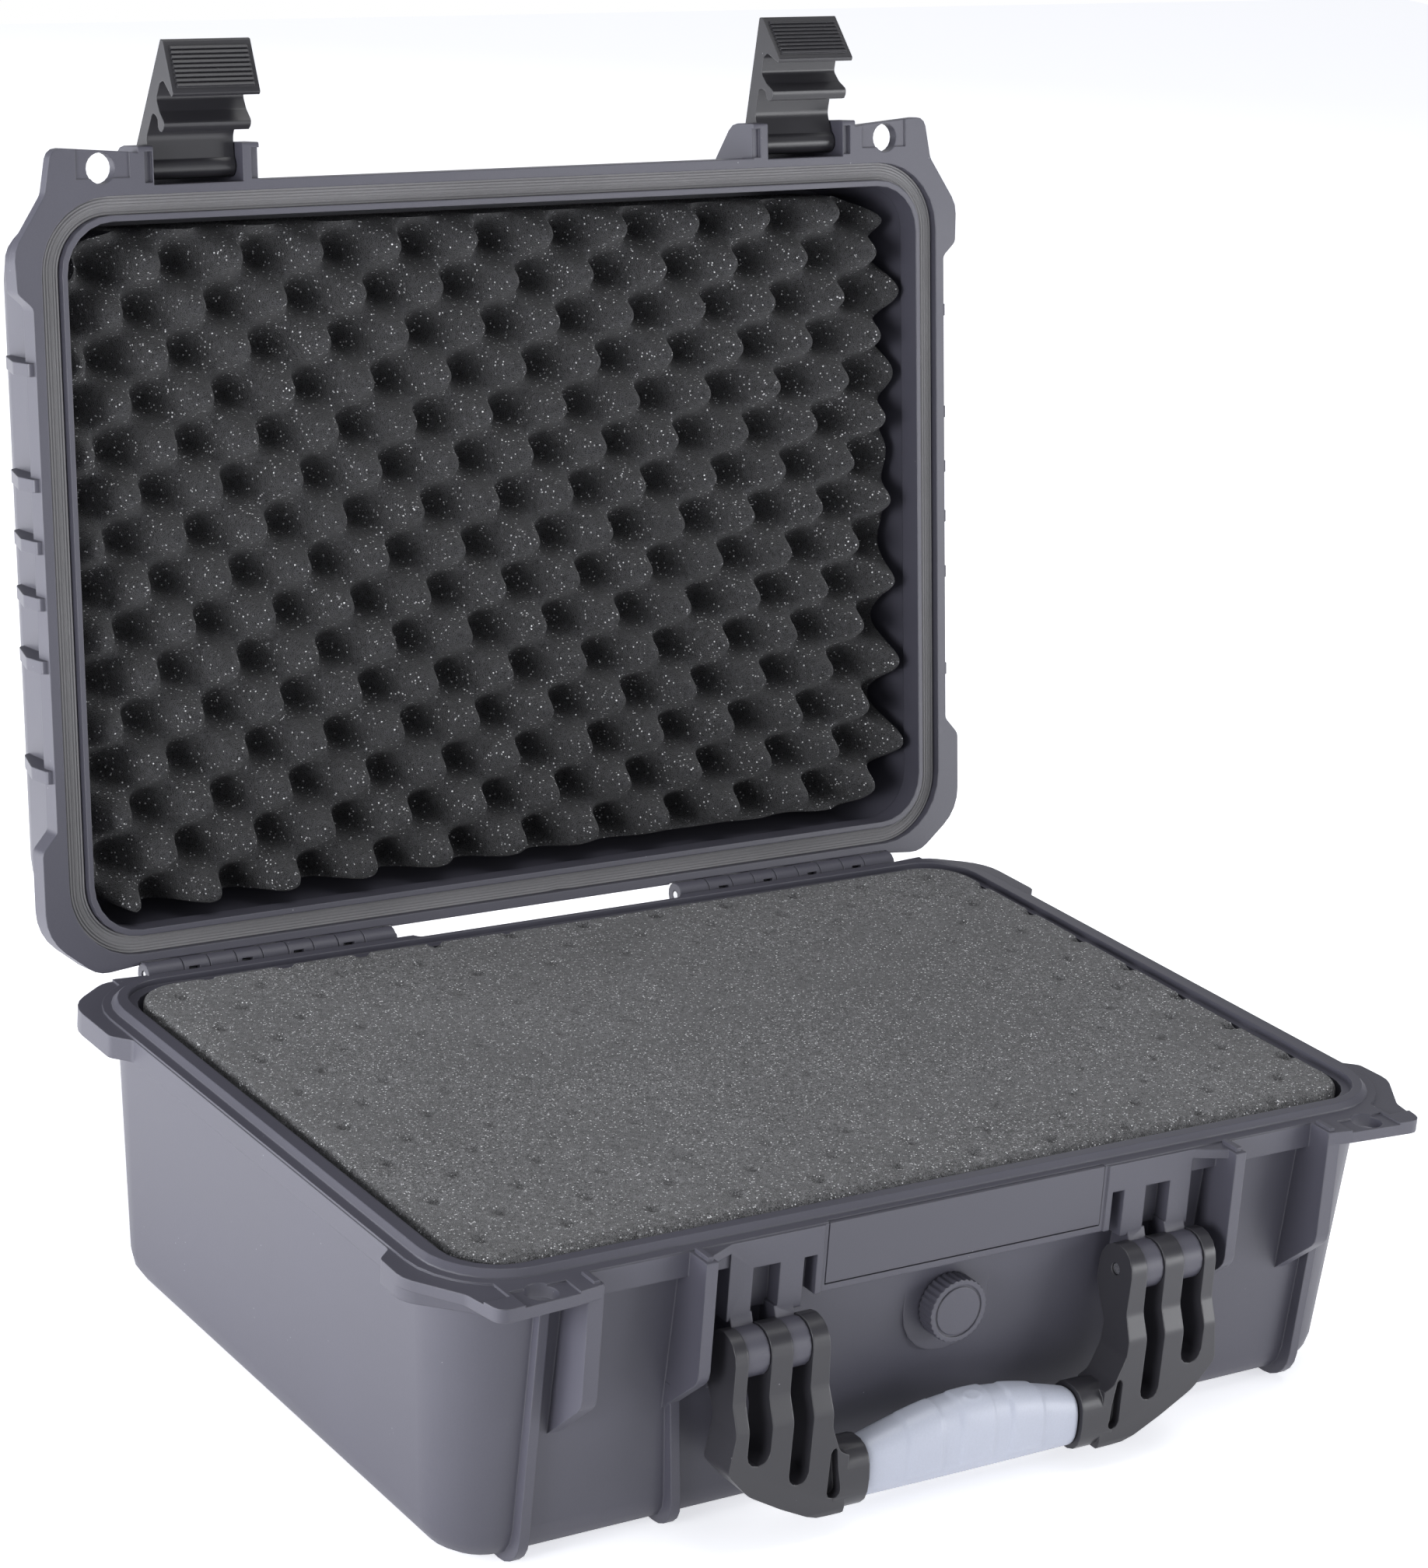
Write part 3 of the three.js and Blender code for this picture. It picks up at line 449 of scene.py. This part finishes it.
# %% Foam materials
def foam_material(name, colour, cells_per_metre, sparkle, bump):
    """Cells, painted sparkles and pores painted dark as shade, on a very rough Principled shader
    with a little sheen.
    """
    material = bpy.data.materials.new(name)
    material.use_nodes = True
    tree = material.node_tree
    shader = tree.nodes["Principled BSDF"]
    skin = node(tree, "Group", node_tree=foam)
    tree.links.new(node(tree, "TexCoord").outputs["Object"], skin.inputs["Vector"])
    skin.inputs["Colour"].default_value = (*colour, 1)
    skin.inputs["Cells per metre"].default_value = cells_per_metre
    skin.inputs["Sparkle"].default_value = sparkle
    tree.links.new(skin.outputs["Colour"], shader.inputs["Base Color"])
    tree.links.new(skin.outputs["Roughness"], shader.inputs["Roughness"])
    relief = node(tree, "Bump", {"Height": skin.outputs["Height"], "Distance": bump,
                                 "Strength": 0.8})
    relief.invert = True
    tree.links.new(relief.outputs[0], shader.inputs["Normal"])
    shader.inputs["Sheen Weight"].default_value = 0.12
    shader.inputs["Sheen Roughness"].default_value = 0.6
    shader.inputs["Specular IOR Level"].default_value = 0.3
    return material


pad_foam = foam_material("grey pad foam", (0.135, 0.135, 0.14), 1500.0, sparkle=0.5, bump=0.0005)
lid_foam = foam_material("dark egg-crate foam", (0.036, 0.036, 0.039), 1250.0, sparkle=0.3,
                         bump=0.0006)
print("foams made")

# %% [markdown]
# ## Mouldings with smooth rounds
#
# The CAD nodes hold loose flat triangles, so a round corner would show facets. Each moulding is
# copied, its points are merged, and edges that turn by less than 32 degrees are shaded smooth,
# with normals weighted by face area, which keeps the large walls truly flat. The shape is the
# CAD's own to the last point. The copy stands for its node, and the node stays as it was.

# %% A smooth-shaded copy of a CAD node
MERGE_DISTANCE = 2e-6
SHARP_TURN = math.radians(32)


def smooth_moulding(name, body, material):
    """The node's points merged within 2 micrometres, sharp where neighbouring faces turn by
    more than 32 degrees, and each corner normal the area-weighted mean of its smooth faces."""
    source = nodes[name]
    mesh = bpy.data.meshes.new(name + "_moulding")
    grid = bmesh.new()
    grid.from_mesh(source.data)
    bmesh.ops.remove_doubles(grid, verts=grid.verts, dist=MERGE_DISTANCE)
    grid.to_mesh(mesh)
    grid.free()
    for attribute in ("custom_normal", "sharp_edge", "sharp_face"):
        if attribute in mesh.attributes:
            mesh.attributes.remove(mesh.attributes[attribute])
    mesh.polygons.foreach_set("use_smooth", np.ones(len(mesh.polygons), bool))
    mesh.set_sharp_from_angle(angle=SHARP_TURN)
    mesh.materials.clear()
    mesh.materials.append(material)
    piece = bpy.data.objects.new(name + "_moulding", mesh)
    scene.collection.objects.link(piece)
    weights = piece.modifiers.new("area weighted normals", "WEIGHTED_NORMAL")
    weights.mode = "FACE_AREA_WITH_ANGLE"
    weights.keep_sharp = True
    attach(piece, body)
    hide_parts(name)
    return piece


for name, body, slot_name, material in [
        ("base_shell", "base", "shell_plastic", shell_plastic),
        ("lid_shell", "lid", "shell_plastic", shell_plastic),
        ("latch_left", "latch_left", "latch_plastic", latch_plastic),
        ("latch_right", "latch_right", "latch_plastic", latch_plastic),
        ("handle_frame", "handle", "handle_plastic", handle_plastic),
        ("valve_knob", "valve", "shell_plastic", shell_plastic)]:
    made = smooth_moulding(name, body, material)
    print(made.name, len(made.data.vertices), "points")

# %% Materials for the nodes that show as they are
for name, material in [("nameplate", plate_plastic), ("valve_seal", ring_rubber),
                       ("hinge_pin_left", pin_steel), ("hinge_pin_right", pin_steel),
                       ("latch_pin_left", pin_steel), ("latch_pin_right", pin_steel),
                       ("handle_pin_left", pin_steel), ("handle_pin_right", pin_steel)]:
    nodes[name].data.materials.clear()
    nodes[name].data.materials.append(material)
print("kept nodes painted")

# %% [markdown]
# ## Grids and rounded rectangles
#
# Every foam sheet and the gasket follow a rectangle with round corners. A square grid is bent
# onto it: straight in the middle, and in each corner zone the square (p, q) becomes the quarter
# disc (p sqrt(1 - q^2/2), q sqrt(1 - p^2/2)). Rows stay rows, so there is no pole and no seam.

# %% Grid tools
def grid_faces(rows, columns, close_rows=False, close_columns=False):
    """Quads of a grid whose point (i, j) has number i * columns + j, wound so that rows x columns
    gives the outward side. A closed direction joins its last line to its first."""
    i = np.arange(rows if close_rows else rows - 1)[:, None]
    j = np.arange(columns if close_columns else columns - 1)[None, :]
    a = i * columns + j
    b = (i + 1) % rows * columns + j
    c = (i + 1) % rows * columns + (j + 1) % columns
    d = i * columns + (j + 1) % columns
    return np.stack([a, b, c, d], axis=-1).reshape(-1, 4)


def rounded_grid(half_x, half_y, radius, step):
    """A grid over the rounded rectangle, from the formula above. Returns x, y and how far each
    point lies inside the outline, all of shape (columns, rows)."""
    u = np.linspace(-half_x, half_x, int(round(2 * half_x / step)) + 1)[:, None]
    v = np.linspace(-half_y, half_y, int(round(2 * half_y / step)) + 1)[None, :]
    u, v = np.broadcast_arrays(u, v)
    p = np.clip((np.abs(u) - half_x + radius) / radius, 0, 1)
    q = np.clip((np.abs(v) - half_y + radius) / radius, 0, 1)
    x = np.where(p > 0, np.sign(u) * (half_x - radius + radius * p * np.sqrt(1 - q * q / 2)), u)
    y = np.where(q > 0, np.sign(v) * (half_y - radius + radius * q * np.sqrt(1 - p * p / 2)), v)
    corner = radius - np.hypot(np.maximum(np.abs(x) - half_x + radius, 0),
                               np.maximum(np.abs(y) - half_y + radius, 0))
    inside = np.minimum(np.minimum(half_x - np.abs(x), half_y - np.abs(y)), corner)
    return x, y, np.maximum(inside, 0)


def piece_from(name, points, faces, material, body, sharp=50):
    """A mesh object from an array of points and a list of face tuples, at the origin, smooth
    where its faces turn by less than the sharp angle."""
    mesh = bpy.data.meshes.new(name)
    mesh.from_pydata(points.tolist(), [], faces)
    mesh.polygons.foreach_set("use_smooth", np.ones(len(mesh.polygons), bool))
    mesh.set_sharp_from_angle(angle=math.radians(sharp))
    mesh.materials.append(material)
    piece = bpy.data.objects.new(name, mesh)
    scene.collection.objects.link(piece)
    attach(piece, body)
    return piece


print("grid tools ready")

# %% [markdown]
# ## Foam sheets
#
# All the foam is one kind of body: a sheet of a given outline whose face has a relief, with
# upright cut sides and a flat back. Only the relief differs, so it is passed in as a function of
# x and y. Where scissors or a die cut the block, the side simply ends the relief, which is how
# half cones and sharp points come about at the border of egg-crate foam.

# %% A foam block with a relief
def foam_block(half_x, half_y, radius, face, back, step, relief, edge):
    """Top height = face - relief(x, y) - edge * (1 - sqrt(1 - (1 - d / edge)^2)) for points
    nearer than edge to the outline (d is that distance), so the border turns down in a quarter
    circle. The outline then drops straight to the back, which one flat face closes."""
    x, y, inside = rounded_grid(half_x, half_y, radius, step)
    turn = 1 - np.clip(inside / edge, 0, 1)
    top = face - relief(x, y) - edge * (1 - np.sqrt(1 - turn ** 2))
    columns, rows = x.shape
    sheet = np.stack([x, y, top], axis=-1).reshape(-1, 3)
    number = np.arange(columns * rows).reshape(columns, rows)
    rim = np.concatenate([number[:-1, 0], number[-1, :-1], number[:0:-1, -1], number[0, :0:-1]])
    foot = sheet[rim].copy()
    foot[:, 2] = back
    below = np.arange(len(rim)) + len(sheet)
    walls = np.stack([rim, below, np.roll(below, -1), np.roll(rim, -1)], axis=-1)
    faces = grid_faces(columns, rows).tolist() + walls.tolist() + [below[::-1].tolist()]
    return np.concatenate([sheet, foot]) * MM, faces


def hills(x, y, origin, first, second):
    """cos(2 pi s) cos(2 pi t), where s and t count steps of the two lattice vectors from the
    origin: 1 on the lattice and on its cell centres, -1 half way between them."""
    lattice = np.linalg.inv(np.array([first, second]).T)
    s = lattice[0, 0] * (x - origin[0]) + lattice[0, 1] * (y - origin[1])
    t = lattice[1, 0] * (x - origin[0]) + lattice[1, 1] * (y - origin[1])
    return np.cos(2 * np.pi * s) * np.cos(2 * np.pi * t)


def ripple(x, y):
    """A slow unevenness in millimetres: the sum of three waves of different direction."""
    return (np.sin(x / 23 + y / 61 + 0.7) + np.sin(y / 19 - x / 47 + 2.1)
            + np.sin((x + y) / 35 + 4.0)) / 3


print("foam tools ready")

# %% [markdown]
# ## Egg-crate foam in the lid
#
# Egg-crate foam is cut between two rollers with knobs, which gives round peaks and round pits in
# a chequer, joined by saddles. Its height is a product of two cosines, raised to a power just
# over one, which draws the peaks in a little and widens the pits. It is drawn face up, turned
# over into the shut lid, then opened.

# %% Egg-crate foam
CRATE_DEPTH = 29.0
CRATE_POWER = 1.15


def egg_crate(x, y):
    """Depth below the peaks: depth * (1 - w), w = ((1 + c) / 2) ^ power for the cosine product c,
    with the slow unevenness added."""
    c = hills(x, y, origin=(-119.0, 117.0), first=(34.0, 0.7), second=(2.2, -34.4))
    return CRATE_DEPTH * (1 - ((1 + c) / 2) ** CRATE_POWER) + 0.6 * (1 + ripple(x, y))


points, faces = foam_block(half_x=186.2, half_y=128.4, radius=22, face=-3.1, back=-53.2,
                           step=1.5, relief=egg_crate, edge=1.2)
crate = piece_from("lid_egg_crate", lid_opened(points * (1, -1, -1)), faces,
                   lid_foam, "lid", sharp=60)
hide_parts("lid_foam")
print("egg-crate foam", len(faces), "faces")

# %% [markdown]
# ## Cover pad
#
# The pad on top of the base is a flat foam sheet with shallow dimples in a chequer. They are
# deeper towards the borders, most of all along the right and the hinge side. The face sinks a
# little towards the front, where the edge is worn round.

# %% Cover pad
PAD_X, PAD_Y = 188.4, 131.4
DIMPLE_DEPTH, DIMPLE_START = 2.4, 0.74
WORN_WIDTH, WORN_DEPTH, FACE_FALL = 7, 5.5, 0.9


def dimples(x, y):
    """Where the cosine product c of the chequer passes 0.74, a bowl of depth
    2.4 * ((c - 0.74) / 0.26)^1.5, times a factor that grows towards the border, and a slow
    unevenness. The front border is worn down by 5.5 * (1 - sqrt(1 - t^2)), t rising from 0 at
    7 mm from the edge to 1 at the edge. The face also falls by 0.9 mm towards the front."""
    c = hills(x, y, origin=(154.0, 103.5), first=(32.6, -1.3), second=(-0.4, -32.8))
    bowl = np.clip((c - DIMPLE_START) / (1 - DIMPLE_START), 0, 1) ** 1.5
    border = np.clip(np.maximum(np.abs(x) / 188, np.abs(y) / 131) * 1.6 - 0.6, 0.3, 1)
    border = border + 1.3 * np.clip(np.maximum(x - 178, y - 121) / 8, 0, 1)
    t = np.clip((-y - (PAD_Y - 0.2 - WORN_WIDTH)) / WORN_WIDTH, 0, 1)
    worn = WORN_DEPTH * (1 - np.sqrt(1 - t ** 2)) + FACE_FALL * np.clip((60 - y) / 190, 0, 1)
    return DIMPLE_DEPTH * bowl * border + 0.3 * (1 + ripple(x, y)) + worn


points, faces = foam_block(PAD_X, PAD_Y, radius=19, face=114.9, back=95.6, step=1.1,
                           relief=dimples, edge=2.2)
pad = piece_from("cover_pad_sheet", points, faces, pad_foam, "base", sharp=60)
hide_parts("cover_pad")
print("cover pad", len(faces), "faces")

# %% [markdown]
# ## Foam under the pad
#
# The two thick layers are scored into small square columns that tear out to fit what is carried.
# The scores are narrow valleys at a fixed pitch. The thin sheet on the floor is plain.

# %% Pluck foam and floor pad
PLUCK_PITCH = 15
LAYER_INSET = 57  # how much less a layer's half depth is than its half width


def scores(x, y):
    """Depth of the scored lines: 1.2 * exp(-(d / 0.7)^2), d being the distance in millimetres to
    the nearest line of a 15 millimetre square net, for both directions."""
    across = np.abs(np.abs(x) % PLUCK_PITCH - PLUCK_PITCH / 2)
    along = np.abs(np.abs(y) % PLUCK_PITCH - PLUCK_PITCH / 2)
    return 1.2 * np.maximum(np.exp(-(across / 0.7) ** 2), np.exp(-(along / 0.7) ** 2))


def smooth_face(x, y):
    """Only the slow unevenness, scaled down."""
    return 0.2 * (1 + ripple(x, y))


for name, half_x, radius, face, back, step, relief in [
        ("pluck_foam_upper", 187.8, 23, 94.8, 55.2, 2.5, scores),
        ("pluck_foam_lower", 185.8, 23, 54.4, 14.8, 2.5, scores),
        ("floor_pad", 175.2, 17.5, 14.0, 4.6, 6.0, smooth_face)]:
    points, faces = foam_block(half_x, half_x - LAYER_INSET, radius, face, back, step, relief,
                               edge=1.5)
    layer = piece_from(name + "_layer", points, faces, pad_foam, "base", sharp=60)
    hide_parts(name)
    print(name, len(faces), "faces")

# %% [markdown]
# ## Gasket
#
# The gasket is an extruded rubber strip pressed into a groove round the lid, with seven fine
# lengthwise ridges on its face. A profile is carried round the rounded rectangle. The strip is
# cut to length, and its two ends meet in a thin butt seam near the middle of the hinge side.

# %% Gasket
def rounded_path(half_x, half_y, radius, per_corner, per_side):
    """Points round a rounded rectangle and the outward direction at each: four straight sides
    from the back centre, joined by quarter circles."""
    centres, outwards = [], []
    for k, (sx, sy) in enumerate([(1, 1), (-1, 1), (-1, -1), (1, -1)]):
        angle = np.linspace(k * np.pi / 2, (k + 1) * np.pi / 2, per_corner)
        out = np.column_stack([np.cos(angle), np.sin(angle)])
        centre = np.array([sx * (half_x - radius), sy * (half_y - radius)])
        centres.append(centre + radius * out)
        outwards.append(out)
        gap = 2 * (half_x if k % 2 == 0 else half_y) - 2 * radius
        t = np.linspace(0, 1, per_side + 2)[1:-1, None]
        step = np.array([-out[-1, 1], out[-1, 0]])
        centres.append(centres[-1][-1] + t * gap * step)
        outwards.append(np.repeat(out[-1:], per_side, axis=0))
    return np.concatenate(centres), np.concatenate(outwards)


GASKET_X, GASKET_Y, GASKET_RADIUS, GASKET_HALF_WIDTH = 196.05, 138.85, 24.25, 3.72
RIDGE_PITCH = 0.3  # of the half width
SEAM_X = 14

path_points, outward = rounded_path(GASKET_X, GASKET_Y, GASKET_RADIUS, per_corner=16,
                                    per_side=60)
face_line = np.linspace(-0.9, 0.9, 43)
across = np.concatenate([[-1.0, -1.0], face_line, [1.0, 1.0]])
ridged = (2.45 + 0.17 * np.cos(face_line / RIDGE_PITCH * 2 * np.pi)
          - 0.12 * np.abs(face_line))
rise = np.concatenate([[0.0, 2.1], ridged, [2.1, 0.0]])
seam_distance = np.hypot(path_points[:, 0] - SEAM_X, path_points[:, 1] - GASKET_Y)
seam = np.exp(-(seam_distance / 0.8) ** 2)
level = 5.65 - rise[None, :] * (1 - 0.5 * seam[:, None] * (rise > 0.5)[None, :])
flat = path_points[:, None, :] + outward[:, None, :] * (across * GASKET_HALF_WIDTH)[None, :, None]
strip = np.concatenate([flat, level[:, :, None]], axis=-1).reshape(-1, 3) * MM
gasket = piece_from("lid_gasket_strip", lid_opened(strip),
                    grid_faces(len(path_points), len(across), True, True).tolist(),
                    gasket_rubber, "lid", sharp=40)
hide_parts("lid_gasket")
print("gasket", len(gasket.data.polygons), "faces")

# %% [markdown]
# ## Grip
#
# The grip is a soft sleeve round the bar of the handle: plump in the middle, with three raised
# bands and a small oval boss on its front. One closed loop of sections runs out along
# the outside, turns in at the end and comes back along the inside, so the sleeve is a ring.

# %% Grip sleeve
GRIP_HALF = 45.7
BAND_CENTRES, BAND_HALF = (-22, 0, 22), 7.2
SIDES = 96


def superellipse(angle, a, b, power):
    """(a sgn(cos) |cos|^(2/power), b sgn(sin) |sin|^(2/power)): an ellipse for power 2, squarer
    above it."""
    c, s = np.cos(angle), np.sin(angle)
    return (a * np.sign(c) * np.abs(c) ** (2 / power), b * np.sign(s) * np.abs(s) ** (2 / power))


def grip_sections(t, swell, angle):
    """The sleeve's section at t from -1 to 1. Its top rises by 8.4 cos(pi t / 2), its depth by
    1.6 cos(pi t / 2), and swell moves the skin outwards, all in millimetres."""
    bulge = np.cos(t * np.pi / 2)
    low = 9.8 - swell
    high = 32.4 + 8.4 * bulge + swell
    y, z = superellipse(angle, 8.6 + 1.6 * bulge + swell, (high - low) / 2, 2.5)
    return np.stack(np.broadcast_arrays(t * GRIP_HALF, -155 + y, (low + high) / 2 + z), axis=-1)


angle = np.linspace(0, 2 * np.pi, SIDES, endpoint=False)[None, :]
along = np.linspace(-1, 1, 161)[:, None]
x_mm = along * GRIP_HALF
bands = sum(1 / (1 + np.exp(-(BAND_HALF - np.abs(x_mm - centre)) / 0.3))
            for centre in BAND_CENTRES)
facing = np.clip((np.cos(angle - np.radians(140)) - np.cos(np.radians(68))) * 9 + 0.5, 0, 1)
oval = np.hypot(x_mm / 3.4, (angle - np.radians(104)) / 0.20)
mark = np.exp(-((oval - 1) / 0.22) ** 2)
ends = np.minimum((1 - np.abs(along)) * GRIP_HALF / 1.6, 1)
end_round = 0.9 * (1 - np.sqrt(np.clip(ends * (2 - ends), 0, 1)))
outer = grip_sections(along, 0.7 * bands * facing + 0.3 * mark - 0.75 - end_round, angle)
inner = grip_sections(along[::-1], -2.2, angle)
loop = np.concatenate([outer, inner])
grip = piece_from("handle_grip_sleeve", loop.reshape(-1, 3) * MM,
                  grid_faces(len(loop), SIDES, True, True)[:, ::-1].tolist(),
                  grip_rubber, "handle", sharp=50)
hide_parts("handle_grip")
print("grip", len(grip.data.polygons), "faces")
